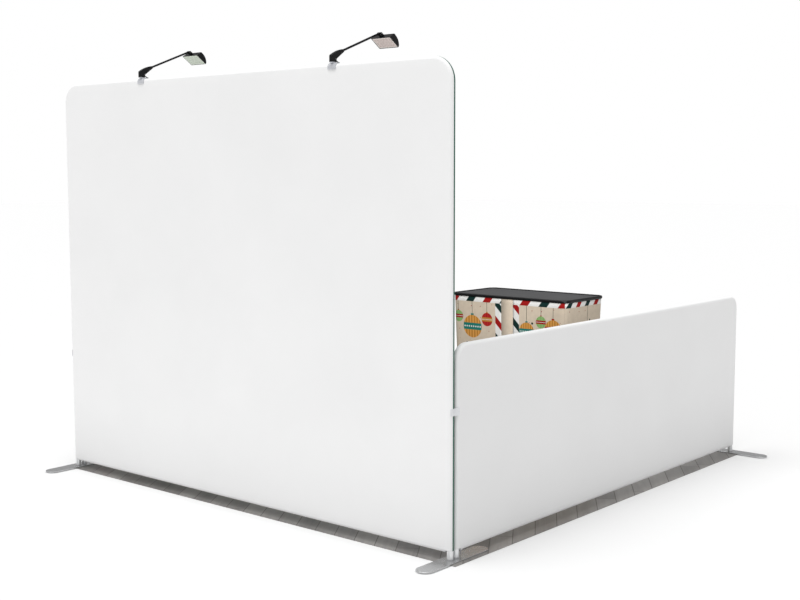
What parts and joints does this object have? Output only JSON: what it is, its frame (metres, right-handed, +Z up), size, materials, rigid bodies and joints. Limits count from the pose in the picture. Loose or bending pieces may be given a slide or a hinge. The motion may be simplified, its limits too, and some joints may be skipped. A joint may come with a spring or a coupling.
{
  "type": "trade show booth",
  "caption": "Tension-fabric trade show booth: tall back wall and half-height side walls on a plank floor, arm lights over the back wall, and a cloth-wrapped counter.",
  "frame": {"origin": "centre of the floor mat's underside", "axes": "+X along the back wall, +Y from the open front towards the back wall, +Z up"},
  "size_m": [3.4114, 3.2289, 2.5089],
  "materials": {
    "floor_vinyl": "printed vinyl, slight gloss",
    "tube_aluminium": "satin anodised",
    "connector_plastic": "moulded",
    "bright_steel": "satin",
    "white_cloth": "knitted polyester, matt",
    "printed_cloth": "printed knitted polyester, matt",
    "zip_tape": "moulded coil",
    "zip_metal": "enamelled",
    "foot_steel": "silver powder coat",
    "clip_plastic": "moulded",
    "lamp_black": "moulded, satin",
    "lamp_clamp_grey": "moulded, satin",
    "lamp_arm_black": "satin black enamel",
    "lamp_lens": "frosted diffuser",
    "led_board": "white solder mask",
    "counter_top_black": "black laminate on board",
    "counter_board": "plain board",
    "counter_pole": "satin anodised",
    "counter_cloth": "printed polyester, matt"
  },
  "bodies": {
    "booth": {"floor_mat": "floor_vinyl", "back_left_upright": "tube_aluminium", "back_right_upright": "tube_aluminium", "back_left_corner_tube": "tube_aluminium", "back_right_corner_tube": "tube_aluminium", "back_top_rail": "tube_aluminium", "back_bottom_rail": "tube_aluminium", "back_centre_post": "tube_aluminium", "left_rear_hoop": "tube_aluminium", "right_rear_hoop": "tube_aluminium", "left_front_hoop": "tube_aluminium", "right_front_hoop": "tube_aluminium", "left_bottom_rail": "tube_aluminium", "right_bottom_rail": "tube_aluminium", "side_centre_posts": "tube_aluminium", "tube_connectors": "connector_plastic", "snap_buttons": "bright_steel", "foot_spigots": "bright_steel", "foot_screws": "bright_steel", "lamp_hinge_pins": "bright_steel", "lamp_lever_pins": "bright_steel", "back_outer_cover": "white_cloth", "left_outer_cover": "white_cloth", "right_outer_cover": "white_cloth", "back_inner_cover": "printed_cloth", "left_inner_cover": "printed_cloth", "right_inner_cover": "printed_cloth", "hem_zips": "zip_tape", "left_corner_foot": "foot_steel", "right_corner_foot": "foot_steel", "left_front_foot": "foot_steel", "right_front_foot": "foot_steel", "corner_clips": "clip_plastic", "left_lamp_housing": "lamp_black", "right_lamp_housing": "lamp_black", "left_lamp_clamp": "lamp_clamp_grey", "right_lamp_clamp": "lamp_clamp_grey", "left_lamp_arm": "lamp_arm_black", "right_lamp_arm": "lamp_arm_black", "counter_top": "counter_top_black", "counter_base": "counter_board", "counter_shelf": "counter_board", "counter_poles": "counter_pole", "counter_front_wrap": "counter_cloth", "counter_left_wrap": "counter_cloth", "counter_right_wrap": "counter_cloth", "counter_back_flaps": "counter_cloth", "counter_closing_strip": "counter_cloth"},
    "left_lamp_head_unit": {"left_lamp_head": "lamp_black", "left_lamp_lens": "lamp_lens", "left_lamp_led_board": "led_board"},
    "right_lamp_head_unit": {"right_lamp_head": "lamp_black", "right_lamp_lens": "lamp_lens", "right_lamp_led_board": "led_board"},
    "left_lamp_lever_unit": {"left_lamp_lever": "lamp_black"},
    "right_lamp_lever_unit": {"right_lamp_lever": "lamp_black"},
    "back_zip_slider_unit": {"back_zip_slider": "zip_metal"},
    "left_zip_slider_unit": {"left_zip_slider": "zip_metal"},
    "right_zip_slider_unit": {"right_zip_slider": "zip_metal"}
  },
  "joints": [
    {"name": "left_lamp_tilt", "type": "hinge", "parent": "booth", "child": "left_lamp_head_unit", "pos_m": [-0.737, 1.14393, 2.50336], "axis": [1, 0, 0], "range_deg": [-50, 40]},
    {"name": "right_lamp_tilt", "type": "hinge", "parent": "booth", "child": "right_lamp_head_unit", "pos_m": [0.737, 1.14393, 2.50336], "axis": [1, 0, 0], "range_deg": [-50, 40]},
    {"name": "left_lamp_clamp_lever", "type": "hinge", "parent": "booth", "child": "left_lamp_lever_unit", "pos_m": [-0.737, 1.4774, 2.353], "axis": [-1, 0, 0], "range_deg": [0, 30]},
    {"name": "right_lamp_clamp_lever", "type": "hinge", "parent": "booth", "child": "right_lamp_lever_unit", "pos_m": [0.737, 1.4774, 2.353], "axis": [-1, 0, 0], "range_deg": [0, 30]},
    {"name": "back_zip_slide", "type": "slide", "parent": "booth", "child": "back_zip_slider_unit", "axis": [-1, 0, 0], "range_m": [0, 2.8374]},
    {"name": "left_zip_slide", "type": "slide", "parent": "booth", "child": "left_zip_slider_unit", "axis": [0, -1, 0], "range_m": [0, 2.826]},
    {"name": "right_zip_slide", "type": "slide", "parent": "booth", "child": "right_zip_slider_unit", "axis": [0, -1, 0], "range_m": [0, 2.826]}
  ]
}
